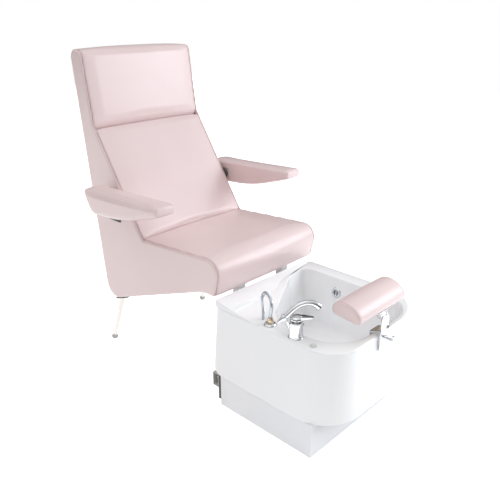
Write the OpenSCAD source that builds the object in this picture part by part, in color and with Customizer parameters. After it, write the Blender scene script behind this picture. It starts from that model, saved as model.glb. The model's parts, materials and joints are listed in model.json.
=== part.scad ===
// Pedicure spa chair: an upholstered wedge chair carried at the front by a foot basin on a plinth
// and at the back by two splayed legs. Millimetres, +Z up, the basin end faces -Y, X runs across.
// Sections are drawn from the plinth's rear bottom edge and then moved, so that the origin lies on
// the floor under the middle of the whole object.

/* [Upholstered body] */
// Width of the upholstered body
body_w = 550; // [500:5:600]
// Height of the seat at its front roll
seat_h = 571; // [555:1:590]
// Height of the nosing under the seat's front roll
nosing_h = 138; // [133:1:145]
// Seat depth, from the foot of the nosing to the crease with the back
seat_d = 406; // [380:1:430]
// Fall of the seat from its front roll to the crease
seat_drop = 26; // [15:1:40]
// Radius of the front roll
roll_r = 55; // [40:1:60]
// Length of the back from the crease to the neck seam
back_l = 492; // [460:1:520]
// Lean of the back from upright
back_lean = 33.6; // [31:0.1:35]
// Height of the top of the head roll
back_h = 1231; // [1190:1:1260]
// Lean of the head section from upright
head_lean = 8.2; // [6:0.1:10]
// Thickness of the head section at the top
head_t = 76; // [72:1:90]
// Lean of the rear face from upright
rear_lean = 6.4; // [5.5:0.1:7.5]
// Slope of the underside
under_rise = 21; // [19:0.5:22]
// Foam over the seat board
seat_foam = 62; // [45:1:70]
// Foam over the back board
back_foam = 58; // [45:1:65]
// Foam over the head block
head_foam = 34; // [25:1:38]
// Foam in front of the front board
nose_foam = 28; // [20:1:36]
// Padded cover on the rear and underside
rear_pad = 12; // [8:1:15]
// Padded cover on each side
side_pad = 9; // [6:0.5:14]
// Thickness of the carcass boards
board_t = 15; // [12:1:20]
// Crown of the seat at mid width
seat_crown = 7; // [3:1:10]
// Crown of the back and head at mid width
back_crown = 4; // [2:1:7]

/* [Armrests] */
// Width of an armrest
arm_w = 86; // [70:1:100]
// Length of an armrest
arm_l = 462; // [420:1:480]
// Gap between the body and an armrest
arm_gap = 24; // [20:1:30]
// Height of the armrest top at its front end
arm_h = 751; // [740:1:770]
// Depth of the armrest at its front end
arm_nose = 34; // [28:1:44]
// Depth of the armrest over its pivot
arm_depth = 94; // [85:1:100]
// Diameter of the pivot pin
pivot_d = 16; // [12:1:20]

/* [Rear legs] */
// Distance between the two feet
foot_span = 530; // [480:1:560]
// Thickness of a leg at the top
leg_top_d = 22; // [18:1:28]
// Thickness of a leg at the foot
leg_foot_d = 14; // [10:1:17]
// How far the foot stands behind the leg's top
leg_rake = 71; // [50:1:90]

/* [Basin] */
// Width of the basin shell
tub_w = 553; // [530:1:580]
// Length of the basin shell at the rim
tub_l = 525; // [505:1:545]
// Height of the rim and tap deck
rim_z = 410; // [400:1:411]
// Height of the lower edge of the basin shell
apron_z = 128; // [122:1:136]
// Height of the bowl floor
bowl_z = 182; // [176:1:195]
// Width of the tap deck on the left
deck_w = 57; // [55:1:62]
// Width of the right rim
rim_w = 67; // [55:1:80]
// Width of the front rim
front_rim = 26; // [24:1:32]
// Wall of the moulded shell
shell_t = 6; // [4:0.5:8]
// Radius of the front left corner, at the tap deck
corner_left_r = 108; // [95:1:120]
// Radius of the front right corner
corner_right_r = 190; // [150:1:200]

/* [Plinth] */
// Width of the plinth
plinth_w = 473; // [440:1:500]
// Length of the plinth
plinth_l = 422; // [400:1:440]
// Wall of the plinth
plinth_t = 12; // [9:1:16]

/* [Taps] */
// Diameter of the mixer body
mixer_d = 44; // [40:1:46]
// Height of the mixer body over the deck
mixer_h = 56; // [50:1:58]
// Diameter of the hand shower's handle
handset_d = 19; // [16:0.5:20]
// Diameter of the metal hose
hose_d = 12; // [10:0.5:13]
// Height of the hose loop over the deck
loop_h = 110; // [90:1:130]

/* [Footrest] */
// Length of the footrest bolster
rest_l = 272; // [220:1:320]
// Depth of the bolster over its flat side
rest_d = 112; // [100:1:120]
// Height of the bolster over its flat side
rest_h = 52; // [42:1:60]
// Tilt of the bolster, front edge down
rest_tilt = 6.2; // [0:0.1:10]
// Width of the footrest post
post_w = 44; // [36:1:50]
// Thickness of the clamp and post plates
plate_t = 4; // [3:0.5:5]

/* [Hidden] */
$fn = 40;

clear = 0.3;          // room between painted or soft faces that move past each other
run_fit = 0.05;       // radial room between a shaft and its bore
seat_gap = 0.2;       // room under a piece that is set down on another
arc_n = 6;            // steps in each rounded corner
pink = [0.93, 0.84, 0.86];
pink_shade = [0.87, 0.77, 0.79];
white_gloss = [0.96, 0.96, 0.97];
chrome = [0.82, 0.83, 0.85];
brass = [0.75, 0.62, 0.35];
steel = [0.62, 0.62, 0.60];
ply = [0.80, 0.68, 0.50];
dark = [0.25, 0.23, 0.22];

// ---- plane geometry and solids from sections ---------------------------------------------------

function unit(v) = v / norm(v);
function inward(v) = [-v[1], v[0]];
function cross2(a, b) = a[0] * b[1] - a[1] * b[0];
function meet(p, u, q, v) = p + u * cross2(q - p, v) / cross2(u, v);
function turned(v, a) = [v[0] * cos(a) - v[1] * sin(a), v[0] * sin(a) + v[1] * cos(a)];
function wrap(list, i) = list[(i + len(list)) % len(list)];
function all_of(n, value) = [for (i = [1 : n]) value];

// Corners of a counter-clockwise outline whose edge i, from corner i to i + 1, moves in by d[i]
function inset(c, d) = [for (i = [0 : len(c) - 1])
    let (u = unit(c[i] - wrap(c, i - 1)), v = unit(wrap(c, i + 1) - c[i]))
    meet(c[i] + wrap(d, i - 1) * inward(u), u, c[i] + d[i] * inward(v), v)];

// Arc of radius r in the corner b between a and e; the corner's edges limit the radius
function corner(a, b, e, r, n) =
    let (u = unit(a - b), v = unit(e - b), half = acos(u * v) / 2,
         t = min(r / tan(half), 0.49 * norm(a - b), 0.49 * norm(e - b)),
         centre = b + unit(u + v) * t / cos(half), start = b + u * t - centre,
         sweep = (180 - 2 * half) * (cross2(u, v) < 0 ? 1 : -1))
    [for (k = [0 : n]) centre + turned(start, sweep * k / n)];

function rounded(c, r, n = arc_n) =
    [for (i = [0 : len(c) - 1]) each corner(wrap(c, i - 1), c[i], wrap(c, i + 1), max(r[i], 0.5), n)];

function at_x(x, outline) = [for (p = outline) [x, p[0], p[1]]];
function at_z(z, outline) = [for (p = outline) [p[0], p[1], z]];

// Solid through matching sections; a closed one joins the last section to the first
module loft(sections, closed = false, eye = []) {
    n = len(sections[0]);
    m = len(sections);
    hub = n * m;
    sides = [for (k = [0 : m - (closed ? 1 : 2)], i = [0 : n - 1])
        let (a = k * n + i, b = k * n + (i + 1) % n,
             c = ((k + 1) % m) * n + (i + 1) % n, d = ((k + 1) % m) * n + i)
        each [[a, d, c], [a, c, b]]];
    ends = closed ? [] : len(eye) == 0
        ? [[for (i = [0 : n - 1]) i], [for (i = [n - 1 : -1 : 0]) (m - 1) * n + i]]
        : [for (i = [0 : n - 1]) each [[i, (i + 1) % n, hub], [(m - 1) * n + (i + 1) % n, (m - 1) * n + i, hub + 1]]];
    polyhedron(concat([for (s = sections) each s], eye), concat(ends, sides));
}

// A prism across the chair, from x0 to x1, over an outline in Y and Z
module across(x0, x1, outline)
    translate([x0, 0, 0]) rotate([90, 0, 90]) linear_extrude(x1 - x0) polygon(outline);

// A round bar from a to b, with its end radii
module rod(a, b, r1, r2) {
    v = b - a;
    translate(a) rotate([0, acos(v[2] / norm(v)), atan2(v[1], v[0])]) cylinder(h = norm(v), r1 = r1, r2 = r2);
}

module tube(h, r_out, r_in) difference() {
    cylinder(h = h, r = r_out);
    translate([0, 0, -1]) cylinder(h = h + 2, r = r_in);
}

// The left piece of a mirrored pair has side -1
module on_side(side) mirror([side < 0 ? 1 : 0, 0, 0]) children();

// ---- side profile of the body, in Y and Z ------------------------------------------------------

nosing_z = seat_h - nosing_h;
nose_y = 27;              // foot of the nosing behind the plinth's rear edge
nose_lean = 12;           // the nosing leans forward as it rises
under_flat = 63;          // flat underside of the nosing, where the front support stands
roll_back = 43;           // the seat's highest line, behind the foot of the nosing
rear_r = 60;              // radius of the lower rear corner
crown_r = 28;             // radius of the head roll
top_foam = 30;            // foam over the head block
nose_foot = [nose_y, nosing_z];
under_front = [nose_y + under_flat, nosing_z];
crease = [nose_y + seat_d, seat_h - seat_drop];
nose_top = meet(nose_foot, [-sin(nose_lean), cos(nose_lean)], crease, [nose_y + roll_back, seat_h] - crease);
neck = crease + back_l * [sin(back_lean), cos(back_lean)];
top_front = [neck[0] + (back_h - neck[1]) * tan(head_lean), back_h];
top_rear = top_front + [head_t, 0];
rear_up = [sin(rear_lean), cos(rear_lean)];
under_back = [cos(under_rise), -sin(under_rise)];
rear_foot = meet(top_rear, rear_up, under_front, under_back);
profile = [nose_foot, under_front, rear_foot, top_rear, top_front, neck, crease, nose_top];
profile_r = [10, 4, rear_r, crown_r, 22, 14, 8, roll_r];
core = inset(profile, [0, rear_pad, rear_pad, top_foam, head_foam, back_foam, seat_foam, nose_foam]);
glue_gap = 0.1;                                  // between a board and the foam on it, and at the neck seam
carcass = inset(core, all_of(8, glue_gap));
inner = inset(core, all_of(8, board_t));
core_r = rear_r - rear_pad;
half_w = body_w / 2;
pad_x = half_w - side_pad;          // outer face of the side boards and of the foam
board_x = pad_x - board_t;          // inner face of the side boards
wrap_out = meet(core[3], [1, 0], top_rear, rear_up);     // end of the head cover, down the back
seat_eye = (profile[7] + core[7]) / 2;           // from here the whole side of each form can be seen
head_eye = (profile[4] + core[4]) / 2;
body_eye = [crease[0] + 230, crease[1] - 125];
neck_rear = meet(carcass[5], [1, 0], carcass[2], rear_up);
corner_run = rear_r + 3;                         // the rear and bottom boards end before the rounded corner
board_stop = carcass[2] - corner_run * under_back;
crown_steps = 12;                                // even, so that one section lies at mid width

head_outline = [profile[5], core[5], core[4], wrap_out, profile[3], profile[4]];
head_r = [14, 0, 6, 0, crown_r, 22];
head_soft = [0, 0, 0, 0.3, 1, 1];

function swollen(c, r, soft, rise) = rounded(inset(c, [for (e = soft) -e * rise]), r);

// A foam form across the body: the listed edges swell by the crown at mid width
module foam(c, r, soft, crown, eye)
    loft([for (k = [0 : crown_steps])
        let (s = 2 * k / crown_steps - 1)
        at_x(s * pad_x, swollen(c, r, soft, crown * (1 - pow(abs(s), 2.6))))],
        eye = [[-pad_x, eye[0], eye[1]], [pad_x, eye[0], eye[1]]]);

module seat_cushion() color(pink)
    foam([profile[0], core[0], core[7], core[6], profile[6], profile[7]],
         [10, 0, 0, 0, 9, roll_r], [0, 0, 0, 0, 1, 0.6], seat_crown, seat_eye);

module back_cushion() color(pink)
    foam([profile[6], core[6], core[5] - [0, glue_gap], profile[5] - [0, glue_gap]], [12, 0, 0, 16],
         [0, 0, 0, 1], back_crown,
         (profile[6] + core[5]) / 2);

module head_cushion() color(pink) foam(head_outline, head_r, head_soft, back_crown, head_eye);

module rear_cover() color(pink_shade)
    across(-pad_x, pad_x, rounded([profile[1], profile[2], wrap_out, core[3], core[2], core[1]],
                                  [3, rear_r, 2, 0, core_r, 0]));

// The padded side: the whole profile, with its outer edge rounded over
module side_cover(side) color(pink_shade) {
    edge = side_pad - 1;
    turns = [0, 30, 60, 90];
    on_side(side) loft(concat([at_x(pad_x, rounded(profile, profile_r))],
        [for (a = turns) at_x(half_w - edge + edge * sin(a),
                              rounded(inset(profile, all_of(8, edge * (1 - cos(a)))), profile_r))]),
        eye = [[pad_x, body_eye[0], body_eye[1]], [half_w, body_eye[0], body_eye[1]]]);
}

module side_cover_left() side_cover(-1);
module side_cover_right() side_cover(1);

module side_board(side) color(ply)
    on_side(side) across(board_x, pad_x, rounded(carcass, [2, 2, core_r, 6, 6, 2, 2, 6]));

module side_board_left() side_board(-1);
module side_board_right() side_board(1);

// Board k lies inside edge k of the carcass outline
module board(k) color(ply)
    across(-board_x, board_x, [carcass[k], wrap(carcass, k + 1), wrap(inner, k + 1), inner[k]]);

module seat_board() board(6);
module front_board() {
    board(7);
    board(0);
}
module back_board() color(ply) across(-board_x, board_x, [carcass[6], inner[6], inner[5], carcass[5]]);
module bottom_board() color(ply)
    across(-board_x, board_x, [carcass[1], board_stop, board_stop + board_t * inward(under_back), inner[1]]);
module head_block() color(ply)
    across(-board_x, board_x, rounded([carcass[5], neck_rear, carcass[3], carcass[4]], [0, 0, 6, 6]));
module rear_board() color(ply) {
    low = carcass[2] + corner_run * rear_up;
    across(-board_x, board_x,
           [low, neck_rear, neck_rear - [board_t / cos(rear_lean), 0], low + board_t * inward(rear_up)]);
}

// ---- armrests ------------------------------------------------------------------------------------

arm_x0 = half_w + arm_gap;                  // inner face of an armrest
arm_x1 = arm_x0 + arm_w;
arm_y0 = nose_y + 162;                      // front end of an armrest
arm_y1 = arm_y0 + arm_l;
arm_fall = 19;                              // fall of the top line from front to rear
arm_bend = [arm_y0 + 211, arm_h - arm_fall - arm_depth + 12];
arm_heel = [arm_y1 - 53, arm_h - arm_fall - arm_depth];
arm_outline = [[arm_y0, arm_h - arm_nose], arm_bend, arm_heel, [arm_y1, arm_h - arm_fall], [arm_y0, arm_h]];
arm_outline_r = [9, 900, 46, 14, 12];
arm_edge = 9;                               // rounding of the armrest's long edges
arm_crown = 2;
pivot = [arm_y1 - 51, arm_h - 61];          // axis of the armrest's pivot
bracket_t = 4;
arm_plate_t = 4;
arm_plate_r = 24;
arm_plate_w = 34;
arm_plate_l = 66;                           // from the pivot to the strap's front end
stop_d = 10;
stop_at = pivot + [14 - arm_plate_l, -arm_plate_w / 2 - stop_d / 2 - clear];
bracket_foot = [70, 105];                   // width of the bracket's foot, and its depth below the pivot
cap_d = 26;
cap_t = 4;
cap_room = 1;
screw_d = 6;
head_d = 11;
head_h = 3.5;
bracket_holes = [for (s = [-1, 1]) pivot + [s * 22, 14 - bracket_foot[1]]];

module arm_pad(side) color(pink) {
    turns = [0, 30, 60, 90];
    on_side(side) difference() {
        loft(concat(
            [for (a = turns) at_x(arm_x0 + arm_edge * (1 - cos(a)), arm_section(arm_edge * (1 - sin(a))))],
            [at_x((arm_x0 + arm_x1) / 2, arm_section(-arm_crown))],
            [for (a = turns) at_x(arm_x1 - arm_edge * (1 - sin(a)), arm_section(arm_edge * (1 - cos(a))))]));
        translate([arm_x0 - 1, pivot[0], pivot[1]]) rotate([0, 90, 0])
            cylinder(h = 1 + cap_t + 2 * cap_room, d = cap_d + 2 * cap_room);
    }
}

function arm_section(d) = rounded(inset(arm_outline, all_of(5, d)), arm_outline_r);

module arm_pad_left() arm_pad(-1);
module arm_pad_right() arm_pad(1);

// Steel strap under the pad's inner face, with the bore that turns on the pivot
module arm_plate(side) color(steel)
    on_side(side) translate([arm_x0 - arm_plate_t, 0, 0]) rotate([90, 0, 90]) linear_extrude(arm_plate_t)
        difference() {
            union() {
                translate(pivot) circle(r = arm_plate_r);
                translate(pivot - [arm_plate_l, arm_plate_w / 2]) square([arm_plate_l, arm_plate_w]);
            }
            translate(pivot) circle(d = pivot_d + 2 * run_fit);
        }

module arm_plate_left() arm_plate(-1);
module arm_plate_right() arm_plate(1);

// Plate on the body's side: boss round the pivot, foot with two screws, lug that carries the stop
module arm_bracket(side) color(dark)
    on_side(side) {
        translate([half_w, 0, 0]) rotate([90, 0, 90]) linear_extrude(bracket_t) difference() {
            union() {
                translate(pivot) circle(r = 28);
                translate(pivot - bracket_foot + [bracket_foot[0] / 2, 0]) square(bracket_foot);
                translate([stop_at[0], pivot[1] - 44]) square([pivot[0] - stop_at[0], 30]);
                translate(stop_at) circle(r = 14);
            }
            translate(pivot) circle(d = pivot_d + 2 * run_fit);
            for (h = bracket_holes) translate(h) circle(d = screw_d + 2 * clear);
        }
        translate([half_w + bracket_t - 1, stop_at[0], stop_at[1]]) rotate([0, 90, 0])
            cylinder(h = arm_gap - bracket_t + 1 - clear, d = stop_d);
    }

module arm_bracket_left() arm_bracket(-1);
module arm_bracket_right() arm_bracket(1);

module arm_pivots() color(chrome)
    for (side = [-1, 1]) on_side(side) translate([half_w, pivot[0], pivot[1]]) rotate([0, 90, 0]) {
        cylinder(h = arm_gap + cap_room, d = pivot_d);
        translate([0, 0, arm_gap + clear]) cylinder(h = cap_t, d = cap_d);
    }

module arm_spacers() color(steel)
    for (side = [-1, 1]) on_side(side) translate([half_w + bracket_t, pivot[0], pivot[1]]) rotate([0, 90, 0])
        tube(arm_gap - bracket_t - arm_plate_t - clear, 15, pivot_d / 2 + run_fit);

// ---- rear legs -------------------------------------------------------------------------------------

leg_top_x = 246;
leg_top_y = 632;
leg_top_z = nosing_z - (leg_top_y - under_front[0]) * tan(under_rise);
leg_plate = [60, 90, 5];
leg_plate_shift = 14;                       // the plate sits this far inboard of the leg
leg_screw = [21, 36];
leg_foot_x = foot_span / 2;
leg_foot_y = leg_top_y + leg_rake;
foot_h = 17;
foot_d = 29;
foot_pad = 4;                               // foot under the leg's end

module at_leg_plate() translate([leg_top_x - leg_plate_shift, leg_top_y, leg_top_z])
    rotate([-under_rise, 0, 0]) translate([0, 0, -leg_plate[2]]) children();

module leg_solid(grow)
    rod([leg_foot_x, leg_foot_y, foot_pad], [leg_top_x, leg_top_y, leg_top_z + 20],
        leg_foot_d / 2 + grow, leg_top_d / 2 + grow);

module leg(side) color(chrome) on_side(side) difference() {
    leg_solid(0);
    at_leg_plate() translate([-100, -100, 0]) cube([200, 200, 100]);
}

module leg_left() leg(-1);
module leg_right() leg(1);

module leg_plates() color(dark) for (side = [-1, 1]) on_side(side) at_leg_plate() difference() {
    translate([-leg_plate[0] / 2, -leg_plate[1] / 2, 0]) cube(leg_plate);
    for (x = [-1, 1], y = [-1, 1]) translate([x * leg_screw[0], y * leg_screw[1], -1])
        cylinder(h = leg_plate[2] + 2, d = screw_d + 2 * clear);
}

module leg_feet() color(dark) for (side = [-1, 1]) on_side(side) difference() {
    translate([leg_foot_x, leg_foot_y, 0]) rotate_extrude()
        polygon([[0, 0], [foot_d / 2 - 4, 0], [foot_d / 2, 5], [foot_d / 2, 11],
                 [foot_d / 2 - 2, foot_h - 3], [foot_d / 2 - 5, foot_h], [0, foot_h]]);
    leg_solid(run_fit);
}

// Round-headed screws of the arm brackets and leg plates
module bracket_screws() color(chrome) for (side = [-1, 1]) on_side(side) {
    for (h = bracket_holes) translate([half_w, h[0], h[1]]) rotate([0, 90, 0]) screw(bracket_t);
    at_leg_plate() for (x = [-1, 1], y = [-1, 1])
        translate([x * leg_screw[0], y * leg_screw[1], leg_plate[2]]) mirror([0, 0, 1]) screw(leg_plate[2]);
}

module screw(under_head) {
    cylinder(h = under_head, d = screw_d);
    translate([0, 0, under_head]) cylinder(h = head_h, d1 = head_d, d2 = head_d - 3);
}

// ---- front support between basin and body ---------------------------------------------------------

plinth_x0 = -277;
plinth_x1 = plinth_x0 + plinth_w;
link_gap = 12;                              // the support beam stands this far behind the plinth
beam = [2 * 277, 30, 56];
beam_z = 70;
upright = [40, 28];
upright_x = 120;
link_plate_w = 40;
link_plate_z = 24;
bolt_d = 10;
link_bolt_x = [plinth_x0 + link_plate_w / 2, plinth_x1 - link_plate_w / 2];

module link_beam() color([0.72, 0.70, 0.68]) difference() {
    translate([-beam[0] / 2, link_gap, beam_z]) cube(beam);
    translate([-beam[0] / 2 - 1, link_gap + 3, beam_z + 3]) cube(beam - [-2, 6, 6]);
    for (x = link_bolt_x) translate([x, 0, beam_z + beam[2] / 2]) rotate([-90, 0, 0])
        cylinder(h = 60, d = bolt_d + 2 * run_fit);
}

module link_uprights() color([0.72, 0.70, 0.68]) for (side = [-1, 1]) on_side(side)
    translate([upright_x - upright[0] / 2, link_gap + beam[1], beam_z])
        cube([upright[0], upright[1], nosing_z - beam_z]);

module link_plates() color(dark) for (x = link_bolt_x) difference() {
    translate([x - link_plate_w / 2, 0, link_plate_z])
        cube([link_plate_w, link_gap, beam_z + beam[2] - link_plate_z]);
    translate([x, -1, beam_z + beam[2] / 2]) rotate([-90, 0, 0])
        cylinder(h = link_gap + 2, d = bolt_d + 2 * run_fit);
}

module link_bolts() color(chrome) for (x = link_bolt_x)
    translate([x, -plinth_t - 2, beam_z + beam[2] / 2]) rotate([-90, 0, 0]) {
        cylinder(h = plinth_t + 2 + link_gap + beam[1], d = bolt_d);
        translate([0, 0, plinth_t + 2 + link_gap + beam[1]]) cylinder(h = 6, d = 17);
    }

// ---- plinth --------------------------------------------------------------------------------------

waste_at = [0, -240];
waste_r = 20;
outlet_z = 44;
service = [190, 56];                        // opening in the plinth's rear wall
service_x = -30;
service_z = 18;
pipe_r = 6;
mixer_at = [-251, -325];
supply_y = [mixer_at[1] - 11, mixer_at[1] + 11];
bearer = [150, 30];

module plinth() color(white_gloss) difference() {
    translate([plinth_x0, -plinth_l, 0]) cube([plinth_w, plinth_l, apron_z]);
    translate([plinth_x0 + plinth_t, -plinth_l + plinth_t, plinth_t])
        cube([plinth_w - 2 * plinth_t, plinth_l - 2 * plinth_t, apron_z - 2 * plinth_t]);
    translate([service_x - service[0] / 2, -plinth_t - 1, service_z]) cube([service[0], plinth_t + 2, service[1]]);
    translate([waste_at[0], waste_at[1], apron_z - plinth_t - 1]) cylinder(h = plinth_t + 2, r = waste_r + 4);
    for (y = supply_y) translate([mixer_at[0], y, apron_z - plinth_t - 1])
        cylinder(h = plinth_t + 2, r = pipe_r + 2);
    for (x = link_bolt_x) translate([x, -plinth_t - 1, beam_z + beam[2] / 2]) rotate([-90, 0, 0])
        cylinder(h = plinth_t + 2, d = bolt_d + 2 * run_fit);
}

// Timbers on the plinth that carry the bowl
module bearers() color(ply) for (at = [[-75, -400], [-8, -140]])
    translate([at[0], at[1], apron_z]) cube([bearer[0], bearer[1], bowl_z - shell_t - apron_z]);

// ---- basin shell -----------------------------------------------------------------------------------

tub_x0 = plinth_x0 - 4;
tub_x1 = tub_x0 + tub_w;
tub_y1 = 14;
tub_y0 = tub_y1 - tub_l;
front_draft = 8;                            // the front wall leans in towards its foot
rear_flare = 24;                            // the rear wall runs back towards its foot
rear_round = 32;
rim_r = 8;
tub_n = 9;
quarter = [0, 22.5, 45, 67.5, 90];
apron_levels = [for (a = quarter) apron_z + rear_round * (1 - cos(a))];
rim_levels = [for (a = quarter) rim_z - rim_r * (1 - sin(a))];

// The shell's outline at a height, moved in by d
function tub_section(z, d) =
    let (t = (rim_z - z) / (rim_z - apron_z), low = max(0, rear_round - (z - apron_z)),
         tuck = rear_round - sqrt(rear_round * rear_round - low * low),
         over = max(0, z - rim_z + rim_r), e = d + rim_r - sqrt(rim_r * rim_r - over * over),
         y0 = tub_y0 + front_draft * t, y1 = tub_y1 + rear_flare * t - tuck)
    rounded(inset([[tub_x0, y0], [tub_x1, y0], [tub_x1, y1], [tub_x0, y1]], all_of(4, e)),
            [corner_left_r + 42 * t - e, corner_right_r - e, 34 - e, 14 - e], tub_n);

bowl_rear = tub_y1 - 34;
bowl_edge = [[tub_x0 + deck_w, tub_y0 + front_rim], [tub_x1 - rim_w, tub_y0 + front_rim],
             [tub_x1 - rim_w, bowl_rear], [tub_x1 - 194, bowl_rear], [tub_x0 + deck_w, tub_y0 + 313]];
bowl_r = [174, 110, 40, 30, 174];
bowl_draft = 20;
floor_r = 34;
lip_r = 6;

function bowl_section(d) = rounded(inset(bowl_edge, all_of(5, d)), [for (r = bowl_r) r - d], tub_n);

// The bowl's hollow for d = 0, and the outside of its wall for a negative d
module bowl_solid(d, top) loft(concat(
    [for (a = quarter) at_z(bowl_z + d + floor_r * (1 - cos(a)), bowl_section(d + bowl_draft + floor_r * (1 - sin(a))))],
    [at_z(top, bowl_section(d))]));

// Splash ledge along the rear, highest at the left, where it rises to the seat's nosing
ledge_h = 23;
ledge_y = -62;
ledge_x = tub_x0 + 60;
lip_w = 9;
lip_l = 204;

module splash_ledge() {
    across(tub_x0, tub_x0 + lip_w, concat([[tub_y1, rim_z - 2]],
        [for (k = [0 : 8]) [tub_y1 - lip_l * k / 8, rim_z + ledge_h * pow(1 - k / 8, 1.6)]],
        [[tub_y1 - lip_l, rim_z - 2]]));
    // each station: place across, share of the full height, front edge, share of the front step
    loft([for (s = [[tub_x0 + 1, 1, ledge_y, 1], [ledge_x, 1, ledge_y, 1], [-20, 0.9, ledge_y + 20, 0.2],
                    [50, 0.8, -8, 0.04], [tub_x1 - 26, 0.4, -6, 0.04]])
        at_x(s[0], [[s[2], rim_z - 2], [tub_y1, rim_z - 2], [tub_y1, rim_z + s[1] * ledge_h],
                    [s[2] + 2, rim_z + s[3] * 12], [s[2], rim_z + s[3] * 10]])]);
}

module tub_shell() color(white_gloss) difference() {
    union() {
        difference() {
            loft([for (z = concat(apron_levels, rim_levels)) at_z(z, tub_section(z, 0))]);
            loft(concat([at_z(apron_z - 1, tub_section(apron_z, shell_t))],
                [for (z = concat(apron_levels, [rim_z - shell_t])) at_z(z, tub_section(z, shell_t))]));
        }
        bowl_solid(-shell_t, rim_z - shell_t / 2);
        splash_ledge();
    }
    bowl_solid(0, rim_z - lip_r);
    loft([for (a = quarter) at_z(rim_z - lip_r * (1 - sin(a)) + (a == 90 ? 0.01 : 0), bowl_section(-lip_r * (1 - cos(a))))]);
    translate([waste_at[0], waste_at[1], bowl_z - 20]) cylinder(h = 40, r = waste_r + run_fit);
    at_overflow() translate([0, 0, -20]) cylinder(h = 40, r = overflow_r + run_fit);
    at_deck(mixer_at) cylinder(h = 30, r = shank_r + run_fit, center = true);
    at_deck(flange_at) cylinder(h = 30, r = shank_r + run_fit, center = true);
    at_deck(hose_in) cylinder(h = 30, r = hose_d / 2 + clear, center = true);
    at_deck(button_at) cylinder(h = 30, r = button_r + 3 + run_fit, center = true);
}

module at_deck(p) translate([p[0], p[1], rim_z]) children();

// ---- waste and overflow ----------------------------------------------------------------------------

overflow_r = 14;
overflow_y = -159;
overflow_z = 350;
wall_lean = atan(bowl_draft / (rim_z - lip_r - bowl_z - floor_r));
wall_x = tub_x1 - rim_w - (rim_z - lip_r - overflow_z) * tan(wall_lean);

// Frame on the bowl's right wall, with Z pointing into the bowl
module at_overflow() translate([wall_x, overflow_y, overflow_z]) rotate([0, -90 + wall_lean, 0]) children();

trap_r = 40;
trap_h = 60;
hole_r = 1.9;                               // the strainer's holes
outlet_end = [waste_at[0], 6, outlet_z];
outlet_bore_r = 17;

module waste_strainer() color(chrome) translate([waste_at[0], waste_at[1], 0]) {
    difference() {
        translate([0, 0, bowl_z]) cylinder(h = 3, d1 = 66, d2 = 60);
        for (ring = [[8, 6], [15, 12]], k = [1 : ring[1]])
            rotate(k * 360 / ring[1]) translate([ring[0], 0, bowl_z - 1]) cylinder(h = 6, r = hole_r);
    }
    translate([0, 0, bowl_z - 16]) tube(16.5, waste_r, waste_r - 3);
}

module waste_trap() color([0.9, 0.9, 0.88]) difference() {
    union() {
        translate([waste_at[0], waste_at[1], plinth_t + 2]) cylinder(h = trap_h, r = trap_r);
        translate([waste_at[0], waste_at[1], plinth_t + 1 + trap_h])
            cylinder(h = bowl_z - 16 - plinth_t - 1 - trap_h, r = waste_r);
        rod([waste_at[0], waste_at[1], outlet_z], outlet_end, waste_r, waste_r);
    }
    translate([waste_at[0], waste_at[1], plinth_t + 6]) cylinder(h = trap_h - 8, r = trap_r - 4);
    translate([waste_at[0], waste_at[1], plinth_t + trap_h - 8]) cylinder(h = bowl_z, r = outlet_bore_r);
    rod([waste_at[0], waste_at[1] + trap_r - 8, outlet_z], outlet_end + [0, 1, 0], outlet_bore_r, outlet_bore_r);
}

module overflow_ring() color(chrome) at_overflow() {
    difference() {
        cylinder(h = 4, d1 = 42, d2 = 37);
        translate([0, 0, -1]) cylinder(h = 6, r = overflow_r - 3);
    }
    translate([-overflow_r + 1, -2, 0]) cube([2 * overflow_r - 2, 4, 2.5]);
    translate([0, 0, -14]) tube(14.5, overflow_r, overflow_r - 3);
}

overflow_elbow = [wall_x + 32, overflow_y, overflow_z - 2];
overflow_low = [overflow_elbow[0], overflow_y, 156];
overflow_tee = [waste_at[0], waste_at[1], 146];

module overflow_pipe() color([0.9, 0.9, 0.88]) difference() {
    union() {
        at_overflow() translate([0, 0, -34]) cylinder(h = 20, r = overflow_r - 1);
        rod(overflow_low - [0, 0, 12], overflow_elbow + [0, 0, 12], 11, 11);
        rod(overflow_low, overflow_tee, 8, 8);
    }
    translate([waste_at[0], waste_at[1], 100]) cylinder(h = 80, r = waste_r + run_fit);
}

// ---- taps on the deck ------------------------------------------------------------------------------

flange_at = [-248, -213];
hose_in = [-235, -171];
button_at = [-258, -400];
shank_r = 14;
button_r = 7;
handset_turn = -38;                         // heading of the hand shower in plan
lever_turn = -46.4;                         // heading of the mixer's lever in plan
base_h = 5;
hub_z = mixer_h;                            // top of the mixer body over the deck
hub_r = 11;
hub_h = 14;
lever_pin_z = hub_z + 10;
lever_pin_d = 4;
lever_r = 22;

module at_mixer(turn = 0) at_deck(mixer_at) rotate(turn) children();

module mixer_base() color(chrome) at_mixer() {
    difference() {
        rotate_extrude() polygon([[0, 0], [26, 0], [26, 2], [24, base_h], [0, base_h]]);
        translate([0, 0, -1]) cylinder(h = base_h + 2, r = shank_r);
    }
    translate([0, 0, -32]) tube(32.5, shank_r, shank_r - 4);
    translate([0, 0, -shell_t - 8]) tube(8, shank_r + 4, shank_r - 1);
}

module mixer_body() color(chrome) at_mixer() {
    rotate_extrude() polygon(concat([[0, base_h], [mixer_d / 2 + 1.5, base_h], [mixer_d / 2, base_h + 6]],
        [for (a = quarter) [mixer_d / 2 - 4 * (1 - cos(a)), hub_z - 4 * (1 - sin(a))]], [[0, hub_z]]));
    rotate(lever_turn) translate([8, 0, hub_z - 12]) rotate([0, 90, 0]) cylinder(h = mixer_d / 2 - 7, d = 12);
}

module mixer_index() color([0.75, 0.15, 0.15]) at_mixer(lever_turn)
    translate([mixer_d / 2 + 1, 0, hub_z - 12]) rotate([0, 90, 0]) cylinder(h = 1.2, d = 9);

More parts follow.
